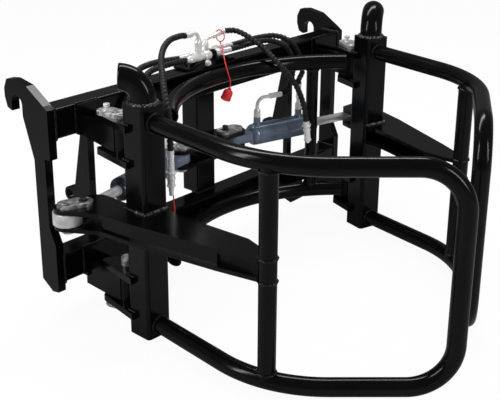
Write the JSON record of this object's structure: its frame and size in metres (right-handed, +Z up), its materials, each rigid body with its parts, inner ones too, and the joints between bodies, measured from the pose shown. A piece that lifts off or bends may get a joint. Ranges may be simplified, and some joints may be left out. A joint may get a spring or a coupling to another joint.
{
  "type": "round bale clamp",
  "caption": "Hydraulic bale clamp for a front loader: welded frame with hitch hooks and two tube-loop arms that swing on upright pins to grip a round bale.",
  "frame": {"origin": "floor level, at mid width, in the plane of the two cross beams' front faces", "axes": "+X to the right as the picture shows it, +Y to the rear (loader side), +Z up; the arms reach towards -Y"},
  "size_m": [1.2045, 1.074, 0.666],
  "materials": {
    "black_paint": "satin black powder coat over welded steel",
    "galvanised": "mottled galvanised steel",
    "cylinder_paint": "gloss blue-grey paint",
    "dark_steel": "dark blued steel",
    "chrome": "hard chrome plating, ground"
  },
  "bodies": {
    "root": {"upper_beam": "black_paint", "lower_beam": "black_paint", "left_hitch_plate": "black_paint", "right_hitch_plate": "black_paint", "left_inner_plate": "black_paint", "right_inner_plate": "black_paint", "centre_post": "black_paint", "clevis_plates": "black_paint", "upper_rest_tube": "black_paint", "lower_rest_tube": "black_paint", "rest_strut": "black_paint", "left_upper_bracket": "black_paint", "right_upper_bracket": "black_paint", "left_lower_bracket": "black_paint", "right_lower_bracket": "black_paint", "base_pins": "galvanised"},
    "left_arm": {"left_post": "black_paint", "left_horn": "black_paint", "left_loop_top": "black_paint", "left_loop_end": "black_paint", "left_loop_bottom": "black_paint", "left_brace": "black_paint", "left_lever_plates": "black_paint", "left_lever_web": "black_paint", "left_hinge_ears": "black_paint", "left_flag_pins": "galvanised"},
    "left_barrel": {"left_barrel": "cylinder_paint", "left_gland": "dark_steel"},
    "left_rod": {"left_rod": "chrome", "left_piston": "dark_steel"},
    "right_arm": {"right_post": "black_paint", "right_horn": "black_paint", "right_loop_top": "black_paint", "right_loop_end": "black_paint", "right_loop_bottom": "black_paint", "right_brace": "black_paint", "right_lever_plates": "black_paint", "right_lever_web": "black_paint", "right_hinge_ears": "black_paint", "right_flag_pins": "galvanised"},
    "right_barrel": {"right_barrel": "cylinder_paint", "right_gland": "dark_steel"},
    "right_rod": {"right_rod": "chrome", "right_piston": "dark_steel"}
  },
  "joints": [
    {"name": "left_arm_swing", "type": "hinge", "parent": "root", "child": "left_arm", "pos_m": [-0.441, -0.125, 0.295], "axis": [0, 0, 1], "range_deg": [-43.5, 12.5]},
    {"name": "right_arm_swing", "type": "hinge", "parent": "root", "child": "right_arm", "pos_m": [0.441, -0.125, 0.295], "axis": [0, 0, 1], "range_deg": [0, 59.5]},
    {"name": "left_barrel_swing", "type": "hinge", "parent": "root", "child": "left_barrel", "pos_m": [-0.105, 0.03, 0.295], "axis": [0, 0, 1], "range_deg": [-8.5, 2.5]},
    {"name": "right_barrel_swing", "type": "hinge", "parent": "root", "child": "right_barrel", "pos_m": [0.105, 0.03, 0.295], "axis": [0, 0, 1], "range_deg": [0, 12.5]},
    {"name": "left_rod_slide", "type": "slide", "parent": "left_barrel", "child": "left_rod", "axis": [-0.9804, -0.1973, 0], "range_m": [-0.082, 0.024]},
    {"name": "right_rod_slide", "type": "slide", "parent": "right_barrel", "child": "right_rod", "axis": [0.965, -0.2622, 0], "range_m": [-0.1, 0]}
  ],
  "couplings": [
    {"joint": "left_barrel_swing", "follows": "left_arm_swing", "ratio": 0.185},
    {"joint": "left_rod_slide", "follows": "left_arm_swing", "m_per_rad": 0.106},
    {"joint": "right_barrel_swing", "follows": "right_arm_swing", "ratio": 0.205},
    {"joint": "right_rod_slide", "follows": "right_arm_swing", "m_per_rad": -0.096}
  ]
}
